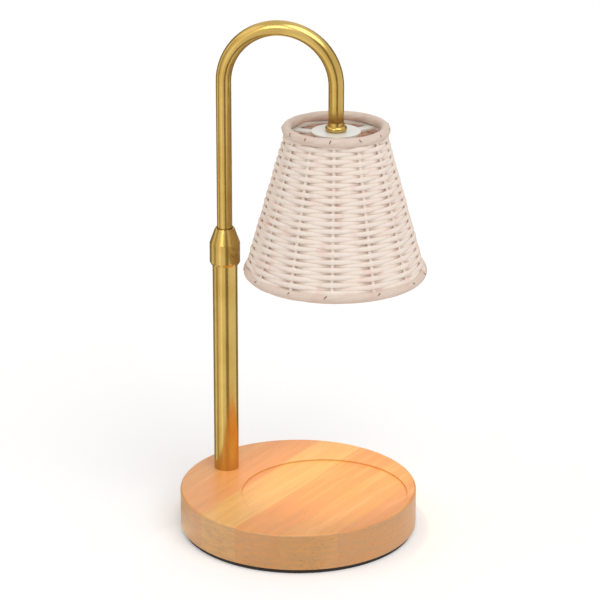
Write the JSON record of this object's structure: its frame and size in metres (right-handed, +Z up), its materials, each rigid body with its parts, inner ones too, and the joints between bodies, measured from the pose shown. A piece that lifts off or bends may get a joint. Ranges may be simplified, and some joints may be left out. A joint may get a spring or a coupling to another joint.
{
  "type": "candle warmer lamp",
  "caption": "Table lamp on a round wooden base: a telescoping pole with a clamp collar and a swinging gooseneck hangs a woven conical shade over a candle seat.",
  "frame": {"origin": "centre of the foot pad's underside, where the lamp stands", "axes": "+Z up along the pole, +X from the pole towards the candle seat, +Y to the left of that"},
  "size_m": [0.152, 0.162, 0.3289],
  "materials": {
    "wood": "clear satin lacquer on pale hardwood",
    "foot_foam": "matte black foam",
    "zinc_steel": "zinc plated",
    "iron": "raw casting",
    "grommet_rubber": "matte",
    "terminal_plastic": "moulded",
    "brass": "satin, lengthwise drawn grain",
    "bush_nylon": "turned nylon",
    "lead_sheath": "soft sheath",
    "white_metal": "off-white satin paint",
    "holder_ceramic": "unglazed white",
    "contact_metal": "nickel plated",
    "cane": "whitewashed woven cane",
    "bulb_mirror": "silvered glass",
    "bulb_front_glass": "clear, lit",
    "bulb_cap_ceramic": "white",
    "bulb_glow": "lit capsule"
  },
  "bodies": {
    "base": {"wood_base": "wood", "foot_pad": "foot_foam", "base_cover": "zinc_steel", "cover_screws": "zinc_steel", "counterweight": "iron", "weight_screws": "zinc_steel", "cord_grommet": "grommet_rubber", "terminal_block": "terminal_plastic", "terminal_screws": "zinc_steel", "pole_nipple": "zinc_steel", "pole_washer": "zinc_steel", "pole_nut": "zinc_steel", "tube_foot_plug": "brass", "lower_tube": "brass", "collet": "brass", "clamp_ferrule": "brass", "lead_lower": "lead_sheath", "lead_slack": "lead_sheath"},
    "guide": {"guide_bush": "bush_nylon"},
    "arm": {"gooseneck_tube": "brass", "tube_clips": "zinc_steel", "neck_bush": "brass", "head_nipple": "zinc_steel", "top_disc": "white_metal", "head_spacer": "white_metal", "shade_frame": "white_metal", "head_nut": "zinc_steel", "holder_bracket": "zinc_steel", "bracket_screws": "zinc_steel", "lamp_holder": "holder_ceramic", "holder_contacts": "contact_metal", "shade_weave": "cane", "shade_stakes": "cane", "shade_top_border": "cane", "shade_bottom_border": "cane", "lead_upper": "lead_sheath"},
    "collar": {"clamp_collar": "brass"},
    "bulb": {"bulb_reflector": "bulb_mirror", "bulb_lens": "bulb_front_glass", "bulb_cap": "bulb_cap_ceramic", "bulb_capsule": "bulb_glow", "bulb_pins": "contact_metal"}
  },
  "joints": [
    {"name": "height_slide", "type": "slide", "parent": "base", "child": "guide", "axis": [0, 0, 1], "range_m": [-0.085, 0.01], "deforming": ["lead_slack"]},
    {"name": "arm_swing", "type": "hinge", "parent": "guide", "child": "arm", "pos_m": [-0.0558, 0, 0.1482], "axis": [0, 0, 1], "range_deg": [-180, 150]},
    {"name": "bulb_turn", "type": "hinge", "parent": "arm", "child": "bulb", "pos_m": [0.00974, 0.02782, 0.2287], "axis": [0, 0, 1], "range_deg": [0, 35]},
    {"name": "collar_turn", "type": "hinge", "parent": "base", "child": "collar", "pos_m": [-0.0558, 0, 0.1803], "axis": [0, 0, 1], "range_deg": [0, 360]}
  ]
}
